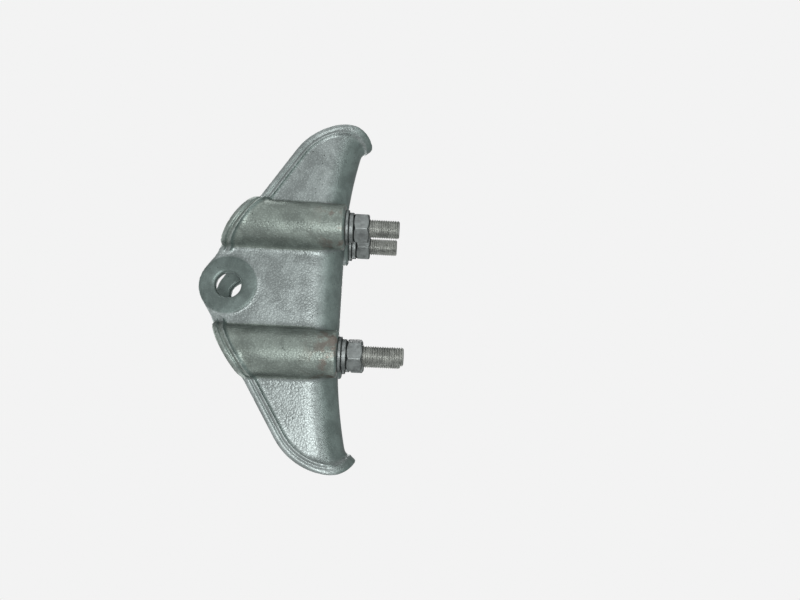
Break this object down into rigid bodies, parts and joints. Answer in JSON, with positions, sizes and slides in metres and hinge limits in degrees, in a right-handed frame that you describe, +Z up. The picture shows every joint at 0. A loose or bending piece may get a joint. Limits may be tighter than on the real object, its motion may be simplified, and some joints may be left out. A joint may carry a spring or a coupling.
{
  "type": "suspension clamp",
  "caption": "Bag-type suspension clamp: a boat-shaped cast body hung by a pin through its ears, with U-bolts that press a keeper onto a conductor.",
  "frame": {"origin": "centre of the hanger hole, midway between the two ears", "axes": "+X along the conductor, +Y along the hanger hole across the cheeks, +Z up as the clamp hangs"},
  "size_m": [0.3064, 0.105, 0.1766],
  "materials": {
    "galvanised_casting": "hot-dip zinc over a rough casting",
    "galvanised_bolt": "hot-dip zinc, dull, with a rolled thread",
    "galvanised_fastener": "hot-dip zinc, dull"
  },
  "bodies": {
    "clamp": {"clamp_body": "galvanised_casting", "flat_washer_left_front": "galvanised_fastener", "flat_washer_left_rear": "galvanised_fastener", "flat_washer_right_front": "galvanised_fastener", "flat_washer_right_rear": "galvanised_fastener", "spring_washer_left_front": "galvanised_fastener", "spring_washer_left_rear": "galvanised_fastener", "spring_washer_right_front": "galvanised_fastener", "spring_washer_right_rear": "galvanised_fastener"},
    "keeper_plate": {"keeper": "galvanised_casting"},
    "left_bolt": {"u_bolt_left": "galvanised_bolt"},
    "right_bolt": {"u_bolt_right": "galvanised_bolt"},
    "nut_left_front": {"hex_nut_left_front": "galvanised_fastener"},
    "nut_left_rear": {"hex_nut_left_rear": "galvanised_fastener"},
    "nut_right_front": {"hex_nut_right_front": "galvanised_fastener"},
    "nut_right_rear": {"hex_nut_right_rear": "galvanised_fastener"}
  },
  "joints": [
    {"name": "keeper_lift", "type": "slide", "parent": "clamp", "child": "keeper_plate", "axis": [0, 0, 1], "range_m": [0, 0.02]},
    {"name": "left_bolt_lift", "type": "slide", "parent": "clamp", "child": "left_bolt", "axis": [0, 0, 1], "range_m": [0, 0.0201]},
    {"name": "right_bolt_lift", "type": "slide", "parent": "clamp", "child": "right_bolt", "axis": [0, 0, 1], "range_m": [0, 0.0201]},
    {"name": "nut_left_front_turn", "type": "hinge", "parent": "clamp", "child": "nut_left_front", "pos_m": [-0.055, -0.03, -0.1108], "axis": [0, 0, -1], "range_deg": [0, 3610]},
    {"name": "nut_left_rear_turn", "type": "hinge", "parent": "clamp", "child": "nut_left_rear", "pos_m": [-0.055, 0.03, -0.1108], "axis": [0, 0, -1], "range_deg": [0, 3610]},
    {"name": "nut_right_front_turn", "type": "hinge", "parent": "clamp", "child": "nut_right_front", "pos_m": [0.055, -0.03, -0.1108], "axis": [0, 0, -1], "range_deg": [0, 3610]},
    {"name": "nut_right_rear_turn", "type": "hinge", "parent": "clamp", "child": "nut_right_rear", "pos_m": [0.055, 0.03, -0.1108], "axis": [0, 0, -1], "range_deg": [0, 3610]}
  ],
  "couplings": [
    {"joint": "left_bolt_lift", "follows": "keeper_lift", "ratio": 1},
    {"joint": "right_bolt_lift", "follows": "keeper_lift", "ratio": 1},
    {"joint": "nut_left_front_turn", "follows": "keeper_lift", "rad_per_m": 3141.6},
    {"joint": "nut_left_rear_turn", "follows": "keeper_lift", "rad_per_m": 3141.6},
    {"joint": "nut_right_front_turn", "follows": "keeper_lift", "rad_per_m": 3141.6},
    {"joint": "nut_right_rear_turn", "follows": "keeper_lift", "rad_per_m": 3141.6}
  ]
}
